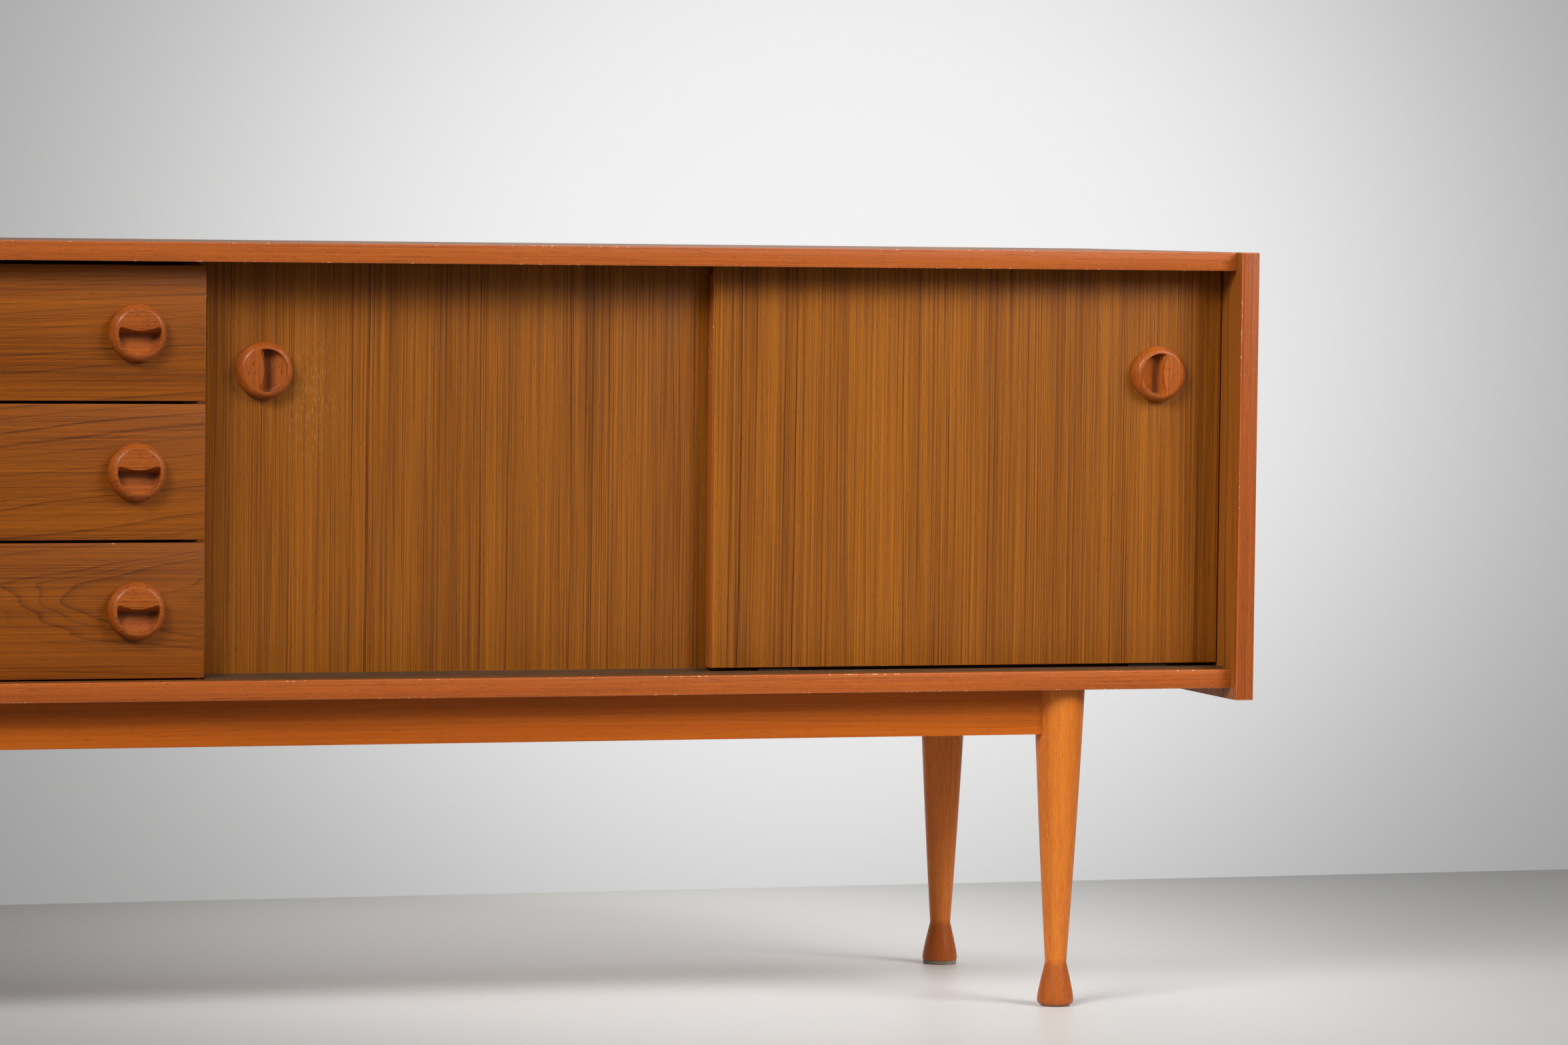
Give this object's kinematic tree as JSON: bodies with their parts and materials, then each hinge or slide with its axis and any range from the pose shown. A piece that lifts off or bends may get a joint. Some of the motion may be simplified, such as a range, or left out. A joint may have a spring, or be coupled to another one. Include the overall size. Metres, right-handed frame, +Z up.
{
  "type": "sideboard buffet",
  "caption": "Long low sideboard on turned tapered legs, with a sliding-door cupboard, a stack of drawers and a hinged cupboard behind round wooden finger-pocket pulls.",
  "frame": {"origin": "on the floor under the middle of the case", "axes": "+X to the right seen from the front, +Y towards the back, +Z up; the front faces -Y"},
  "size_m": [2.1, 0.5, 0.735],
  "materials": {
    "panel_veneer": "satin lacquer",
    "edge_lipping": "satin lacquer",
    "door_veneer": "satin lacquer",
    "drawer_veneer": "satin lacquer",
    "drawer_box": "thin clear lacquer",
    "plywood": "unfinished",
    "turned_knob": "gloss lacquer",
    "leg_beech": "satin lacquer",
    "rail_beech": "satin lacquer",
    "foot_felt": "pressed felt",
    "track_plastic": "matt",
    "glide_plastic": "matt",
    "brass": "aged satin",
    "steel": "dull zinc"
  },
  "bodies": {
    "carcass": {"back_nails": "steel", "back_panel_left": "plywood", "back_panel_middle": "plywood", "back_panel_right": "plywood", "bottom_lipping": "edge_lipping", "bottom_panel": "panel_veneer", "carcass_dowels": "drawer_box", "door_catch": "glide_plastic", "drawer_runners": "drawer_box", "foot_pads": "foot_felt", "frame_screws": "steel", "front_left_leg": "leg_beech", "front_rail": "rail_beech", "front_right_leg": "leg_beech", "hinge_frame_leaves": "brass", "hinge_pins": "brass", "left_divider": "panel_veneer", "left_rail": "rail_beech", "left_shelf": "panel_veneer", "left_side_lipping": "edge_lipping", "left_side_panel": "panel_veneer", "lower_track": "track_plastic", "rear_left_leg": "leg_beech", "rear_rail": "rail_beech", "rear_right_leg": "leg_beech", "right_divider": "panel_veneer", "right_rail": "rail_beech", "right_shelf": "panel_veneer", "right_side_lipping": "edge_lipping", "right_side_panel": "panel_veneer", "shelf_pins": "brass", "top_lipping": "edge_lipping", "top_panel": "panel_veneer"},
    "right_sliding_door": {"right_door_panel": "door_veneer", "right_door_edges": "edge_lipping", "right_door_glides": "glide_plastic", "right_door_knob": "turned_knob"},
    "left_sliding_door": {"left_door_panel": "door_veneer", "left_door_edges": "edge_lipping", "left_door_glides": "glide_plastic", "left_door_knob": "turned_knob"},
    "hinged_door": {"hinged_door_panel": "door_veneer", "hinged_door_knob": "turned_knob", "hinge_door_leaves": "brass", "catch_plate": "steel"},
    "top_drawer": {"top_drawer_front": "drawer_veneer", "top_drawer_sides": "drawer_box", "top_drawer_back": "drawer_box", "top_drawer_base": "plywood", "top_drawer_knobs": "turned_knob"},
    "middle_drawer": {"middle_drawer_front": "drawer_veneer", "middle_drawer_sides": "drawer_box", "middle_drawer_back": "drawer_box", "middle_drawer_base": "plywood", "middle_drawer_knobs": "turned_knob"},
    "bottom_drawer": {"bottom_drawer_front": "drawer_veneer", "bottom_drawer_sides": "drawer_box", "bottom_drawer_back": "drawer_box", "bottom_drawer_base": "plywood", "bottom_drawer_knobs": "turned_knob"}
  },
  "joints": [
    {"name": "right_door_slide", "type": "slide", "parent": "carcass", "child": "right_sliding_door", "axis": [1, 0, 0], "range_m": [-0.4, 0]},
    {"name": "left_door_slide", "type": "slide", "parent": "carcass", "child": "left_sliding_door", "axis": [1, 0, 0], "range_m": [0, 0.4]},
    {"name": "hinged_door_swing", "type": "hinge", "parent": "carcass", "child": "hinged_door", "pos_m": [-1.0292, -0.215, 0.52], "axis": [0, 0, -1], "range_deg": [0, 95]},
    {"name": "top_drawer_slide", "type": "slide", "parent": "carcass", "child": "top_drawer", "axis": [0, -1, 0], "range_m": [0, 0.3]},
    {"name": "middle_drawer_slide", "type": "slide", "parent": "carcass", "child": "middle_drawer", "axis": [0, -1, 0], "range_m": [0, 0.3]},
    {"name": "bottom_drawer_slide", "type": "slide", "parent": "carcass", "child": "bottom_drawer", "axis": [0, -1, 0], "range_m": [0, 0.3]}
  ]
}
